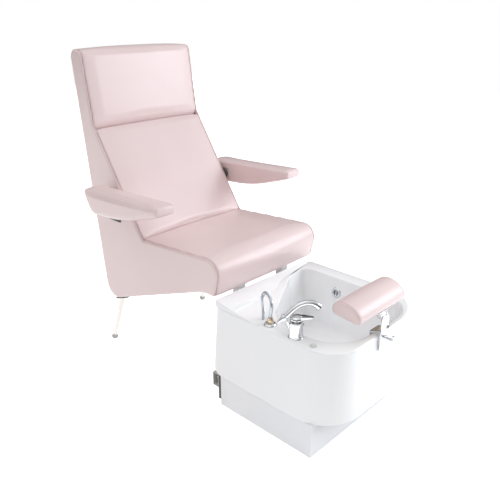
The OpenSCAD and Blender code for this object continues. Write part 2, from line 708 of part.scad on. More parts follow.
module mixer_hub() color(chrome) at_mixer(lever_turn) {
    translate([0, 0, hub_z + clear]) cylinder(h = hub_h, r = hub_r);
    translate([0, -lever_r + 4, lever_pin_z]) rotate([-90, 0, 0])
        cylinder(h = 2 * (lever_r - 4), d = lever_pin_d);
}

// Dome over the hub with a paddle; it turns with the hub and lifts on the hub's cross pin
module mixer_lever() color(chrome) at_mixer(lever_turn) difference() {
    union() {
        translate([0, 0, hub_z + 7]) rotate_extrude() polygon(concat([[0, 0], [lever_r - 2, 0], [lever_r, 2]],
            [for (a = quarter) [lever_r * cos(a * 0.94), 4 + 12 * sin(a * 0.94)]], [[0, 16]]));
        hull() {
            translate([12, -14, hub_z + 10]) cube([4, 28, 8]);
            translate([47, 0, hub_z + 10]) cylinder(h = 5, r = 8, $fn = 32);
        }
    }
    translate([0, 0, hub_z + 6]) cylinder(h = hub_h - 1, d1 = 2 * hub_r + 10, d2 = 2 * hub_r + 6);
    translate([0, -lever_r, lever_pin_z]) rotate([-90, 0, 0])
        cylinder(h = 2 * lever_r, d = lever_pin_d + 2 * run_fit);
}

module supply_pipes() color([0.75, 0.75, 0.76]) for (k = [0, 1]) {
    top = [mixer_at[0] + 3, mixer_at[1] + (k == 0 ? -5.5 : 5.5), rim_z - 30];
    mid = [mixer_at[0], supply_y[k], rim_z - 60];
    low = [mixer_at[0], supply_y[k], 60 - 16 * k];
    exit = [service_x - 40 - 20 * k, 4, 60 - 16 * k];
    rod(mid, top, pipe_r, 4);
    rod(low - [0, 0, pipe_r + 2], mid + [0, 0, pipe_r + 2], pipe_r + 1, pipe_r + 1);
    rod(low, exit, pipe_r, pipe_r);
}

// Hand shower: stations along its curved axis in its own upright plane, [out, up, radius]
handset_line = [[-61, 57, 4.5], [-50, 64, 6.5], [-46, 67, handset_d / 2 - 1], [-30, 80, handset_d / 2],
                [-12, 98, handset_d / 2], [8, 113, handset_d / 2], [28, 119, handset_d / 2],
                [46, 117, handset_d / 2 + 0.5], [60, 110, 11.5], [70, 101, 13]];
handset_n = 20;
collar_at = [-39, 73];
collar_lean = 39;                           // slope of the handle where the collar holds it
collar_l = 8;
spray_at = [70, 101];
spray_dir = unit([10, -9]);

// Circle about a point of a line in the X-Z plane, square to the direction t
function ring(p, t, r, n) = [for (k = [0 : n - 1])
    let (a = 360 * k / n) [p[0] - r * cos(a) * t[1], -r * sin(a), p[1] + r * cos(a) * t[0]]];

function heading(line, i) = let (m = len(line) - 1, a = line[max(i - 1, 0)], b = line[min(i + 1, m)])
    unit([b[0] - a[0], b[1] - a[1]]);

module hand_shower() color(chrome) at_mixer(handset_turn)
    loft([for (i = [0 : len(handset_line) - 1])
        ring(handset_line[i], i == len(handset_line) - 1 ? spray_dir : heading(handset_line, i),
             handset_line[i][2], handset_n)]);

module spray_face() color(dark) at_mixer(handset_turn) translate([spray_at[0], 0, spray_at[1]])
    rotate([0, 90 - atan2(spray_dir[1], spray_dir[0]), 0]) cylinder(h = 3, d1 = 24, d2 = 22);

// Collar that holds the hand shower, on a bracket behind the mixer body
module shower_holder() color(chrome) at_mixer(handset_turn) {
    translate([collar_at[0], 0, collar_at[1]]) rotate([0, 90 - collar_lean, 0])
        translate([0, 0, -collar_l / 2]) tube(collar_l, handset_d / 2 + 3.2, handset_d / 2 + run_fit + 0.05);
    hull() {
        translate([-mixer_d / 2 - 3, -5, hub_z - 22]) cube([3, 10, 14]);
        translate([-33, -4, hub_z + 3]) cube([3.5, 8, 3]);
    }
}

// Metal hose: up out of the nut, over and down through the deck
hose_span = norm(hose_in - flange_at);
hose_heading = atan2((hose_in - flange_at)[1], (hose_in - flange_at)[0]);
hose_arc_r = 29;
hose_start = 26;
hose_end = -30;
hose_pitch = 3;
hose_wall = 1.6;
hose_top = loop_h - hose_d / 2 - hose_arc_r;

function eased(t) = t <= 0 ? 0 : t >= 1 ? 1 : t * t * (3 - 2 * t);
function hose_leg(z) = hose_span / 2 + (hose_arc_r - hose_span / 2) * eased((z - hose_start) / (hose_top - hose_start));
function hose_point(s) = let (up = hose_top - hose_start, over = 180 * hose_arc_r * PI / 180)
    s < up ? [hose_span / 2 - hose_leg(hose_start + s), hose_start + s]
    : s < up + over ? let (a = 180 - (s - up) / hose_arc_r * 180 / PI)
        [hose_span / 2 + hose_arc_r * cos(a), hose_top + hose_arc_r * sin(a)]
    : let (z = hose_top - (s - up - over)) [hose_span / 2 + hose_leg(z), z];
hose_l = 2 * hose_top - hose_start - hose_end + PI * hose_arc_r;
hose_ribs = floor(hose_l / hose_pitch);
function hose_ring(s, r) = let (a = hose_point(max(s - 1, 0)), b = hose_point(min(s + 1, hose_l)))
    ring(hose_point(s), unit(b - a), r, 8);

module shower_hose() color(chrome) at_deck(flange_at) rotate(hose_heading)
    loft(concat(
        [for (k = [0 : hose_ribs]) each [hose_ring(hose_l * (k + 0.01) / (hose_ribs + 1), hose_d / 2),
                                        hose_ring(hose_l * (k + 0.7) / (hose_ribs + 1), hose_d / 2 - 0.6)]],
        [for (k = [24 : -1 : 0]) hose_ring(hose_l * (0.01 + 0.98 * k / 24), hose_d / 2 - hose_wall)]), closed = true);

module hose_flange() color(chrome) at_deck(flange_at) {
    difference() {
        rotate_extrude() polygon([[0, 0], [22, 0], [22, 2], [18, 7], [14, 8], [0, 8]]);
        translate([0, 0, -1]) cylinder(h = 10, r = 9);
    }
    translate([0, 0, -28]) tube(28.5, shank_r, 9);
    translate([0, 0, -shell_t - 8]) tube(8, shank_r + 4, shank_r - 1);
}

module hose_nut() color(brass) at_deck(flange_at) difference() {
    union() {
        translate([0, 0, 8]) cylinder(h = 12, d = 21, $fn = 6);
        translate([0, 0, 19]) cylinder(h = hose_start - 19, d1 = 18, d2 = 15);
    }
    translate([0, 0, 7]) cylinder(h = 30, d = hose_d - 2);
}

button_travel = 3;

module button_housing() color(chrome) at_deck(button_at) difference() {
    union() {
        cylinder(h = 3, d1 = 24, d2 = 21);
        translate([0, 0, -24]) cylinder(h = 24.5, r = button_r + 3);
    }
    translate([0, 0, -20]) cylinder(h = 30, r = button_r + run_fit);
}

module push_button() color(chrome) at_deck(button_at)
    translate([0, 0, -14]) cylinder(h = 14 + 3 + button_travel + 0.5, r = button_r);

// ---- footrest --------------------------------------------------------------------------------------

rest_x = -38;                               // middle of the post
pad_x0 = -172;                              // left end of the bolster
post_y1 = tub_y0 - 1.8;                     // rear face of the post
post_y0 = post_y1 - plate_t;
post_z0 = 354;
hinge_y = tub_y0 + 6;
hinge_z = 473;
sleeve_z = [378, 424];
sleeve_y0 = post_y0 - clear - plate_t;
screw_z = 397;
screw_r = 4;
boss_l = 8;
screw_nut_y = sleeve_y0 - boss_l;
handle_d = 7;
handle_l = 28;
handle_y = tub_y0 - 39;
leg_y0 = tub_y0 + front_rim + 3.5;          // front face of the jaw inside the bowl
knuckle_w = 30;
knuckle_r = 7;
pin_r = 3;
ear_t = 3;
rest_front = [hinge_y - 2, hinge_z + 10];   // lower front edge of the bolster
board_inset = 12;
board_h = 8;

// Saddle on the rim: jaw inside the bowl, sleeve round the post outside it, boss for the screw
module rim_clamp() color(chrome) {
    half = post_w / 2 + clear;
    difference() {
        union() {
            for (side = [0, 1]) translate([rest_x + (side == 0 ? -half - plate_t : half), 0, 0]) {
                translate([0, sleeve_y0, sleeve_z[0]])
                    cube([plate_t, tub_y0 - clear - sleeve_y0, sleeve_z[1] - sleeve_z[0]]);
                across(0, plate_t, [[sleeve_y0, rim_z + seat_gap], [leg_y0 + plate_t, rim_z + seat_gap],
                                    [leg_y0 + plate_t, rim_z + 5], [sleeve_y0 + plate_t, sleeve_z[1] + 6],
                                    [sleeve_y0, sleeve_z[1] + 6]]);
            }
            translate([rest_x - half - 1, sleeve_y0, sleeve_z[0]])
                cube([2 * half + 2, plate_t, sleeve_z[1] - sleeve_z[0]]);
            translate([rest_x - half - 1, post_y1 + clear, rim_z + seat_gap])
                cube([2 * half + 2, leg_y0 + plate_t - post_y1 - clear, 5]);
            translate([rest_x - half - plate_t, leg_y0, rim_z - 26])
                cube([2 * (half + plate_t), plate_t, 31]);
            translate([rest_x, screw_nut_y, screw_z]) rotate([-90, 0, 0]) cylinder(h = boss_l + 1, r = 9);
        }
        translate([rest_x, screw_nut_y - 1, screw_z]) rotate([-90, 0, 0])
            cylinder(h = boss_l + plate_t + 1.5, r = screw_r + run_fit);
    }
}

module rest_post() color(chrome) difference() {
    union() {
        translate([rest_x - post_w / 2, post_y0, post_z0]) cube([post_w, plate_t, hinge_z - 12 - post_z0]);
        hull() {
            translate([rest_x - post_w / 2, post_y0, hinge_z - 14]) cube([post_w, plate_t, 2]);
            translate([rest_x - knuckle_w / 2, post_y0, hinge_z - 4]) cube([knuckle_w, plate_t, 4]);
        }
        translate([rest_x - knuckle_w / 2, hinge_y, hinge_z]) rotate([0, 90, 0])
            cylinder(h = knuckle_w, r = knuckle_r);
        translate([rest_x - knuckle_w / 2, post_y0, hinge_z - 5]) cube([knuckle_w, hinge_y - post_y0, 5]);
    }
    translate([rest_x - knuckle_w, hinge_y, hinge_z]) rotate([0, 90, 0])
        cylinder(h = 2 * knuckle_w, r = pin_r + run_fit);
}

module clamp_foot() color(brass) translate([rest_x, post_y0 - 0.1 - 4, screw_z]) rotate([-90, 0, 0])
    cylinder(h = 4, r = screw_r);

hub_y1 = screw_nut_y - 0.4;                  // the handle's hub all but meets the boss

module clamp_screw() color(chrome) translate([rest_x, hub_y1 - 12, screw_z]) rotate([-90, 0, 0])
    cylinder(h = post_y0 - 0.1 - 4 - seat_gap - hub_y1 + 12, r = screw_r);

module clamp_handle() color(chrome) translate([rest_x, handle_y, screw_z]) rotate([-90, 0, 0]) difference() {
    union() {
        translate([0, 0, -handle_d / 2 + 0.5]) cylinder(h = hub_y1 - handle_y + handle_d / 2 - 0.5, r = screw_r + 1.5);
        rotate([90, 0, 0]) translate([0, 0, -handle_l / 2]) cylinder(h = handle_l, d = handle_d);
    }
    translate([0, 0, hub_y1 - 12 - handle_y]) cylinder(h = 20, r = screw_r);
}

module at_rest_pad() translate([0, rest_front[0], rest_front[1]]) rotate([rest_tilt, 0, 0]) children();

// Plate under the bolster's board, its two ears and the pin through them
module rest_hinge() color(chrome) {
    ear_x = knuckle_w / 2 + clear;
    for (side = [-1, 1]) difference() {
        translate([rest_x + (side < 0 ? -ear_x - ear_t : ear_x), 0, 0]) {
            translate([0, hinge_y, hinge_z]) rotate([0, 90, 0]) cylinder(h = ear_t, r = knuckle_r);
            at_rest_pad() across(0, ear_t, [[-2, -7], [9, -14], [22, -3], [22, -1.5], [2, -1.5]]);
        }
        translate([rest_x - 40, hinge_y, hinge_z]) rotate([0, 90, 0]) cylinder(h = 80, r = pin_r - 0.1);
    }
    at_rest_pad() translate([rest_x - 27, 2, -3.2]) cube([54, 72, 3]);
    translate([rest_x - ear_x - ear_t - 3, hinge_y, hinge_z]) rotate([0, 90, 0]) {
        cylinder(h = 2 * (ear_x + ear_t + 3), r = pin_r);
        cylinder(h = 3, r = 5.5);
        translate([0, 0, 2 * (ear_x + ear_t) + 3]) cylinder(h = 3, r = 5.5);
    }
}

module rest_board() color(ply) at_rest_pad()
    translate([pad_x0 + board_inset, board_inset, 0]) cube([rest_l - 2 * board_inset, rest_d - 2 * board_inset, board_h]);

// D-shaped section of the bolster, in from its full size by d, swollen by e
function rest_section(d, e) = concat([[d + 3, 0], [rest_d - d - 3, 0]],
    [for (a = [10 : 10 : 170]) [rest_d / 2 + (rest_d / 2 - d + e) * cos(a) + 8 * sin(a),
                                (rest_h - d + e) * pow(sin(a), 0.75)]]);

module footrest_pad() color(pink) at_rest_pad() difference() {
    edge = 14;
    ends = [0, 30, 60, 90];
    loft(concat([for (a = ends) at_x(pad_x0 + edge * (1 - cos(a)), rest_section(edge * (1 - sin(a)), 0))],
                [at_x(pad_x0 + rest_l / 2, rest_section(0, 2))],
                [for (a = ends) at_x(pad_x0 + rest_l - edge * (1 - sin(a)), rest_section(edge * (1 - cos(a)), 0))]));
    translate([pad_x0 + board_inset, board_inset, -1])
        cube([rest_l - 2 * board_inset, rest_d - 2 * board_inset, board_h + 1]);
}

// ---- origin ----------------------------------------------------------------------------------------

front_most = handle_y - handle_d / 2;
rear_most = max([for (p = swollen(head_outline, head_r, head_soft, back_crown)) p[0]]);
middle_y = (front_most + rear_most) / 2;

module placed() translate([0, -middle_y, 0]) children();

placed() seat_cushion();
placed() back_cushion();
placed() head_cushion();
placed() rear_cover();
placed() side_cover_left();
placed() side_cover_right();
placed() side_board_left();
placed() side_board_right();
placed() seat_board();
placed() front_board();
placed() back_board();
placed() head_block();
placed() rear_board();
placed() bottom_board();
placed() arm_bracket_left();
placed() arm_bracket_right();
placed() arm_pivots();
placed() arm_spacers();
placed() bracket_screws();
placed() arm_pad_left();
placed() arm_pad_right();
placed() arm_plate_left();
placed() arm_plate_right();
placed() leg_plates();
placed() leg_left();
placed() leg_right();
placed() leg_feet();
placed() link_beam();
placed() link_uprights();
placed() link_plates();
placed() link_bolts();
placed() plinth();
placed() bearers();
placed() tub_shell();
placed() waste_strainer();
placed() waste_trap();
placed() overflow_ring();
placed() overflow_pipe();
placed() mixer_base();
placed() mixer_body();
placed() supply_pipes();
placed() mixer_index();
placed() mixer_hub();
placed() mixer_lever();
placed() shower_holder();
placed() hand_shower();
placed() spray_face();
placed() hose_flange();
placed() hose_nut();
placed() shower_hose();
placed() button_housing();
placed() push_button();
placed() rim_clamp();
placed() rest_post();
placed() clamp_foot();
placed() clamp_screw();
placed() clamp_handle();
placed() rest_hinge();
placed() rest_board();
placed() footrest_pad();
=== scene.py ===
import bpy, bmesh, json, math
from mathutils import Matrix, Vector


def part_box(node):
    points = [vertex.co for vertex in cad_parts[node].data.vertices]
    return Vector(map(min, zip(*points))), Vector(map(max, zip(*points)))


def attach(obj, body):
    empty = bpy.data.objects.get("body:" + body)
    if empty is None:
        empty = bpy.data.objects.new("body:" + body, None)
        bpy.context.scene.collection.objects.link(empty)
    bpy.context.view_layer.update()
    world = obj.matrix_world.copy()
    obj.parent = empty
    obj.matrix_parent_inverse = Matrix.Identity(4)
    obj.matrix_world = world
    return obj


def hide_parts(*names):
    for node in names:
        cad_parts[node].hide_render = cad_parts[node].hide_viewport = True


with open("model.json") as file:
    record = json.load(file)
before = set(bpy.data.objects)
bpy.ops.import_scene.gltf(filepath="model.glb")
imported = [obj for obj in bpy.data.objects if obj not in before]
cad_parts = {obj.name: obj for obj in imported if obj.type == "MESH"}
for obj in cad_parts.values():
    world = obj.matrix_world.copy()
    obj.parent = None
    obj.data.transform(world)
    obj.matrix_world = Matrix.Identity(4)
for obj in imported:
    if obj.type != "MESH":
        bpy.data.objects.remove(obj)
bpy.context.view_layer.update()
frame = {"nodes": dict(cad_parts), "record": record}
nodes = frame["nodes"]
scene = bpy.context.scene
scene.view_settings.view_transform = "Standard"

# ---- camera, light and floor ----

cameraSettings = {"place": (-1.5517, -1.4962, 1.3781), "pitch": 67.97, "yaw": -46.4, "lens": 43.06}
lightSettings = {
    "key": {"place": (2.9, -2.9, 2.0), "aim": (0.0, 0.1, 0.6), "size": 2.2, "watts": 76,
            "tone": (0.96, 1.0, 1.05)},
    "side": {"place": (3.6, -0.6, 1.8), "aim": (0.0, -0.1, 0.5), "size": 2.2, "watts": 15,
             "tone": (1.0, 1.0, 1.0)},
    "sky": [((0, 0, 1), 0.60), ((0, -0.7, 0.7), 0.34), ((-0.76, 0.22, 0.61), 0.60),
            ((-0.68, -0.68, 0.27), -0.21)],
    "skyEdge": (0.1, 0.95), "worldBase": 0.02, "mirrorHorizon": (0.02, 0.30, 0.12, 1.0),
}
floorSettings = {"size": 9.0, "tone": 0.93, "lift": 0.8}


def addCamera():
    camera = bpy.data.cameras.new("camera")
    camera.lens = cameraSettings["lens"]
    camera.sensor_width = 36
    camera.clip_end = 50
    holder = bpy.data.objects.new("camera", camera)
    holder.location = cameraSettings["place"]
    holder.rotation_euler = (math.radians(cameraSettings["pitch"]), 0, math.radians(cameraSettings["yaw"]))
    scene.collection.objects.link(holder)
    scene.camera = holder


def addLamp(name):
    wanted = lightSettings[name]
    lamp = bpy.data.lights.new(name, "AREA")
    lamp.energy = wanted["watts"]
    lamp.size = wanted["size"]
    lamp.color = wanted["tone"]
    holder = bpy.data.objects.new(name, lamp)
    holder.location = wanted["place"]
    aim = Vector(wanted["aim"]) - Vector(wanted["place"])
    holder.rotation_euler = aim.to_track_quat("-Z", "Y").to_euler()
    scene.collection.objects.link(holder)


def addWorld():
    # white to the eye; it lights as soft patches of sky, and reflections get a darker horizon
    world = bpy.data.worlds.new("studio")
    scene.world = world
    world.use_nodes = True
    tree = world.node_tree
    tree.nodes.clear()

    def add(kind, **inputs):
        node = tree.nodes.new(kind)
        for key, value in inputs.items():
            node.inputs[int(key[1:])].default_value = value
        return node

    def arithmetic(kind, first, second):
        node = tree.nodes.new("ShaderNodeMath")
        node.operation = kind
        tree.links.new(first, node.inputs[0])
        tree.links.new(second, node.inputs[1])
        return node.outputs[0]

    def graded(source, lowAt, highAt, low, high):
        node = add("ShaderNodeMapRange", _1=lowAt, _2=highAt, _3=low, _4=high)
        node.interpolation_type = "SMOOTHSTEP"
        tree.links.new(source, node.inputs[0])
        return node.outputs[0]

    direction = tree.nodes.new("ShaderNodeTexCoord").outputs["Generated"]

    def toward(where):
        node = add("ShaderNodeVectorMath", _1=where)
        node.operation = "DOT_PRODUCT"
        tree.links.new(direction, node.inputs[0])
        return node.outputs["Value"]

    base = tree.nodes.new("ShaderNodeValue")
    base.outputs[0].default_value = lightSettings["worldBase"]
    total = base.outputs[0]
    for where, strength in lightSettings["sky"]:
        total = arithmetic("ADD", total, graded(toward(where), *lightSettings["skyEdge"], 0.0, strength))
    horizon = graded(toward((0, 0, 1)), *lightSettings["mirrorHorizon"])
    seen, light, mirrored = (tree.nodes.new("ShaderNodeBackground") for k in range(3))
    tree.links.new(total, light.inputs["Strength"])
    tree.links.new(arithmetic("MULTIPLY", total, horizon), mirrored.inputs["Strength"])
    for node in (seen, light, mirrored):
        node.inputs["Color"].default_value = (1, 1, 1, 1)
    path = tree.nodes.new("ShaderNodeLightPath")
    inner, outer = (tree.nodes.new("ShaderNodeMixShader") for k in range(2))
    tree.links.new(path.outputs["Is Glossy Ray"], inner.inputs[0])
    tree.links.new(light.outputs[0], inner.inputs[1])
    tree.links.new(mirrored.outputs[0], inner.inputs[2])
    tree.links.new(path.outputs["Is Camera Ray"], outer.inputs[0])
    tree.links.new(inner.outputs[0], outer.inputs[1])
    tree.links.new(seen.outputs[0], outer.inputs[2])
    out = tree.nodes.new("ShaderNodeOutputWorld")
    tree.links.new(outer.outputs[0], out.inputs["Surface"])


def addFloor():
    mesh = bpy.data.meshes.new("floor")
    bm = bmesh.new()
    bmesh.ops.create_grid(bm, x_segments=1, y_segments=1, size=floorSettings["size"])
    bm.to_mesh(mesh)
    bm.free()
    floor = bpy.data.objects.new("floor", mesh)
    scene.collection.objects.link(floor)
    material = bpy.data.materials.new("floorPaint")
    material.use_nodes = True
    tree = material.node_tree
    tree.nodes.clear()
    out = tree.nodes.new("ShaderNodeOutputMaterial")
    plain = tree.nodes.new("ShaderNodeBsdfDiffuse")
    plain.inputs["Color"].default_value = (floorSettings["tone"],) * 3 + (1,)
    glow = tree.nodes.new("ShaderNodeEmission")
    path = tree.nodes.new("ShaderNodeLightPath")
    either = tree.nodes.new("ShaderNodeMath")
    either.operation = "MAXIMUM"
    lift = tree.nodes.new("ShaderNodeMath")
    lift.operation = "MULTIPLY"
    lift.inputs[1].default_value = floorSettings["lift"]
    both = tree.nodes.new("ShaderNodeAddShader")
    tree.links.new(path.outputs["Is Camera Ray"], either.inputs[0])
    tree.links.new(path.outputs["Is Glossy Ray"], either.inputs[1])
    tree.links.new(either.outputs[0], lift.inputs[0])
    tree.links.new(lift.outputs[0], glow.inputs["Strength"])
    tree.links.new(plain.outputs[0], both.inputs[0])
    tree.links.new(glow.outputs[0], both.inputs[1])
    tree.links.new(both.outputs[0], out.inputs["Surface"])
    mesh.materials.append(material)


addCamera()
for lampName in ("key", "side"):
    addLamp(lampName)
addWorld()
addFloor()
print("stage set")


# ---- finishes ----

def startMaterial(name, base, roughness, metallic=0.0):
    material = bpy.data.materials.new(name)
    material.use_nodes = True
    shader = material.node_tree.nodes["Principled BSDF"]
    shader.inputs["Base Color"].default_value = tuple(base) + (1,)
    shader.inputs["Roughness"].default_value = roughness
    shader.inputs["Metallic"].default_value = metallic
    return material, material.node_tree, shader


def addNoise(tree, scale, detail=4.0, stretch=None):
    place = tree.nodes.new("ShaderNodeTexCoord")
    noise = tree.nodes.new("ShaderNodeTexNoise")
    noise.inputs["Scale"].default_value = scale
    noise.inputs["Detail"].default_value = detail
    if stretch:
        mapping = tree.nodes.new("ShaderNodeMapping")
        mapping.inputs["Scale"].default_value = stretch
        tree.links.new(place.outputs["Object"], mapping.inputs["Vector"])
        tree.links.new(mapping.outputs[0], noise.inputs["Vector"])
    else:
        tree.links.new(place.outputs["Object"], noise.inputs["Vector"])
    return noise


def ramp(tree, source, lowAt, highAt, low, high):
    node = tree.nodes.new("ShaderNodeMapRange")
    node.inputs["From Min"].default_value = lowAt
    node.inputs["From Max"].default_value = highAt
    node.inputs["To Min"].default_value = low
    node.inputs["To Max"].default_value = high
    tree.links.new(source, node.inputs["Value"])
    return node.outputs["Result"]


def tint(tree, shader, source, dark, light):
    mix = tree.nodes.new("ShaderNodeMix")
    mix.data_type = "RGBA"
    mix.inputs["A"].default_value = tuple(dark) + (1,)
    mix.inputs["B"].default_value = tuple(light) + (1,)
    tree.links.new(source, mix.inputs["Factor"])
    tree.links.new(mix.outputs["Result"], shader.inputs["Base Color"])


def addBump(tree, shader, height, distance, strength=1.0):
    bump = tree.nodes.new("ShaderNodeBump")
    bump.inputs["Distance"].default_value = distance
    bump.inputs["Strength"].default_value = strength
    tree.links.new(height, bump.inputs["Height"])
    tree.links.new(bump.outputs[0], shader.inputs["Normal"])
    return bump


def vinyl(name, dark, light, roughness=0.44):
    material, tree, shader = startMaterial(name, light, roughness)
    cloud = addNoise(tree, 3.2, 3)
    tint(tree, shader, ramp(tree, cloud.outputs["Fac"], 0.35, 0.65, 0, 1), dark, light)
    place = tree.nodes.new("ShaderNodeTexCoord")
    grain = tree.nodes.new("ShaderNodeTexVoronoi")
    grain.feature = "SMOOTH_F1"
    grain.inputs["Scale"].default_value = 900
    pebble = addNoise(tree, 420, 5)
    tree.links.new(place.outputs["Object"], grain.inputs["Vector"])
    both = tree.nodes.new("ShaderNodeMath")
    both.operation = "ADD"
    tree.links.new(grain.outputs["Distance"], both.inputs[0])
    tree.links.new(pebble.outputs["Fac"], both.inputs[1])
    addBump(tree, shader, both.outputs[0], 0.00012, 0.5)
    tree.links.new(ramp(tree, pebble.outputs["Fac"], 0.3, 0.7, roughness - 0.05, roughness + 0.07),
                   shader.inputs["Roughness"])
    shader.inputs["Specular IOR Level"].default_value = 1.0
    shader.inputs["Coat Weight"].default_value = 0.7
    shader.inputs["Coat Roughness"].default_value = 0.34
    return material


def gloss(name, base, roughness=0.12, coat=0.6, wave=0.00015):
    material, tree, shader = startMaterial(name, base, roughness)
    swirl = addNoise(tree, 9, 2)
    addBump(tree, shader, swirl.outputs["Fac"], wave, 0.5)
    haze = addNoise(tree, 60, 6)
    tree.links.new(ramp(tree, haze.outputs["Fac"], 0.3, 0.75, roughness, roughness + 0.08),
                   shader.inputs["Roughness"])
    shader.inputs["Coat Weight"].default_value = coat
    shader.inputs["Coat Roughness"].default_value = 0.05
    return material


def metal(name, base, roughness, grainScale=0, stretch=None, smudge=0.06):
    material, tree, shader = startMaterial(name, base, roughness, 1.0)
    cloud = addNoise(tree, 35, 5)
    tree.links.new(ramp(tree, cloud.outputs["Fac"], 0.3, 0.8, roughness, roughness + smudge),
                   shader.inputs["Roughness"])
    if grainScale:
        grain = addNoise(tree, grainScale, 3, stretch)
        addBump(tree, shader, grain.outputs["Fac"], 0.00004, 0.6)
    return material


def painted(name, base, roughness=0.4, scale=700):
    material, tree, shader = startMaterial(name, base, roughness)
    peel = addNoise(tree, scale, 3)
    addBump(tree, shader, peel.outputs["Fac"], 0.00005, 0.6)
    wear = addNoise(tree, 14, 5)
    tint(tree, shader, ramp(tree, wear.outputs["Fac"], 0.35, 0.7, 0, 1), [c * 0.9 for c in base], base)
    return material


def wood(name):
    material, tree, shader = startMaterial(name, (0.62, 0.45, 0.27), 0.65)
    grain = addNoise(tree, 12, 8, (1, 9, 9))
    tint(tree, shader, ramp(tree, grain.outputs["Fac"], 0.35, 0.7, 0, 1),
         (0.45, 0.31, 0.17), (0.72, 0.55, 0.35))
    addBump(tree, shader, grain.outputs["Fac"], 0.0003, 0.5)
    return material


finishes = {
    "pinkVinyl": vinyl("pinkVinyl", (0.79, 0.62, 0.618), (0.82, 0.65, 0.648)),
    # seam piping is coloured darker than the cover: part piping, part painted shade of the seam crease
    "seamPipingShade": vinyl("seamPipingShade", (0.70, 0.54, 0.54), (0.75, 0.59, 0.59)),
    "gelcoat": gloss("gelcoat", (0.955, 0.96, 0.975), 0.10, 0.5, 0.00008),
    "laminate": gloss("laminate", (0.905, 0.91, 0.94), 0.3, 0.1, 0.00002),
    "chrome": metal("chrome", (0.70, 0.71, 0.73), 0.06),
    "satinSteel": metal("satinSteel", (0.66, 0.65, 0.61), 0.34, 300, (1, 1, 0.05)),
    "footPlastic": painted("footPlastic", (0.62, 0.62, 0.58), 0.3, 300),
    "zinc": metal("zinc", (0.60, 0.60, 0.58), 0.35, 90),
    "hoseMetal": metal("hoseMetal", (0.50, 0.53, 0.57), 0.2),
    "brass": metal("brass", (0.62, 0.51, 0.35), 0.22, 200),
    "braid": metal("braid", (0.66, 0.67, 0.68), 0.32, 900),
    "greyPaint": painted("greyPaint", (0.55, 0.54, 0.51), 0.45),
    # near-black paint; on the link plates and arm brackets it also stands in for the shadow of the gaps they
    # sit in, painted shadow
    "darkPaintGapShade": painted("darkPaintGapShade", (0.06, 0.055, 0.05), 0.5),
    "whitePaint": painted("whitePaint", (0.93, 0.93, 0.95), 0.35),
    "whitePlastic": painted("whitePlastic", (0.75, 0.75, 0.73), 0.4, 250),
    "darkPlastic": painted("darkPlastic", (0.035, 0.036, 0.04), 0.35, 400),
    "indexPaint": gloss("indexPaint", (0.06, 0.08, 0.45), 0.2, 0.4),
    "plywood": wood("plywood"),
}

nodeFinish = {
    "chrome": ["bracket_screws", "arm_pivots", "link_bolts", "waste_strainer",
               "overflow_ring", "mixer_base", "mixer_body", "mixer_hub", "mixer_lever", "shower_holder",
               "hand_shower", "hose_flange", "rim_clamp", "rest_post",
               "clamp_screw", "clamp_handle", "rest_hinge"],
    "hoseMetal": ["shower_hose"],
    "zinc": ["arm_plate_left", "arm_plate_right", "arm_spacers"],
    "brass": ["hose_nut", "clamp_foot"],
    "braid": ["supply_pipes"],
    "greyPaint": ["link_beam"],
    "whitePaint": ["link_uprights"],
    # link plates and arm brackets near-black: real dark parts, and partly painted shadow of the gaps beside
    # them
    "darkPaintGapShade": ["arm_bracket_left", "arm_bracket_right", "leg_plates", "link_plates"],
    "satinSteel": ["leg_left", "leg_right"],
    "footPlastic": ["leg_feet"],
    "whitePlastic": ["waste_trap", "overflow_pipe", "button_housing", "push_button"],
    "darkPlastic": ["spray_face"],
    "indexPaint": ["mixer_index"],
    "gelcoat": ["tub_shell"],
    "laminate": ["plinth"],
    "plywood": ["side_board_left", "side_board_right", "seat_board", "front_board", "back_board",
                "head_block", "rear_board", "bottom_board", "bearers", "rest_board"],
    "pinkVinyl": ["seat_cushion", "back_cushion", "head_cushion", "arm_pad_left", "arm_pad_right",
                  "footrest_pad", "rear_cover", "side_cover_left", "side_cover_right"],
}
bodyOf = {name: body for body, names in frame["record"]["behaviour"]["bodies"].items() for name in names}
finishOf = {name: finish for finish, names in nodeFinish.items() for name in names}


def paint(piece, finish):
    piece.data.materials.clear()
    piece.data.materials.append(finishes[finish])


for name, node in nodes.items():
    for place in node.material_slots:
        place.material = finishes[finishOf[name]]
print("finishes made")


# ---- soft and smooth pieces ----

def link(name, mesh):
    piece = bpy.data.objects.new(name, mesh)
    scene.collection.objects.link(piece)
    return piece


def mergedCopy(nodeName, name):
    mesh = nodes[nodeName].data.copy()
    bm = bmesh.new()
    bm.from_mesh(mesh)
    bmesh.ops.remove_doubles(bm, verts=bm.verts, dist=0.00002)
    bmesh.ops.dissolve_degenerate(bm, edges=bm.edges, dist=0.00001)
    bmesh.ops.recalc_face_normals(bm, faces=bm.faces)
    bm.to_mesh(mesh)
    bm.free()
    return link(name, mesh)


def applied(piece):
    bpy.context.view_layer.update()
    graph = bpy.context.evaluated_depsgraph_get()
    mesh = bpy.data.meshes.new_from_object(piece.evaluated_get(graph))
    old = piece.data
    piece.modifiers.clear()
    piece.data = mesh
    bpy.data.meshes.remove(old)
    return piece


def smoothShade(piece, angle=35):
    bm = bmesh.new()
    bm.from_mesh(piece.data)
    limit = math.radians(angle)
    for face in bm.faces:
        face.smooth = True
    for edge in bm.edges:
        edge.smooth = len(edge.link_faces) == 2 and edge.calc_face_angle(0) < limit
    bm.to_mesh(piece.data)
    bm.free()


def finishPiece(piece, nodeName, finish=None):
    paint(piece, finish or finishOf[nodeName])
    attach(piece, bodyOf[nodeName])
    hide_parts(nodeName)


def remesh(piece, voxel):
    change = piece.modifiers.new("remesh", "REMESH")
    change.mode = "VOXEL"
    change.voxel_size = voxel
    change.adaptivity = 0
    applied(piece)


clothSettings = {"quality": 4, "mass": 0.3, "tension_stiffness": 18, "compression_stiffness": 18,
                 "bending_stiffness": 2.5}
clothFrames = 16


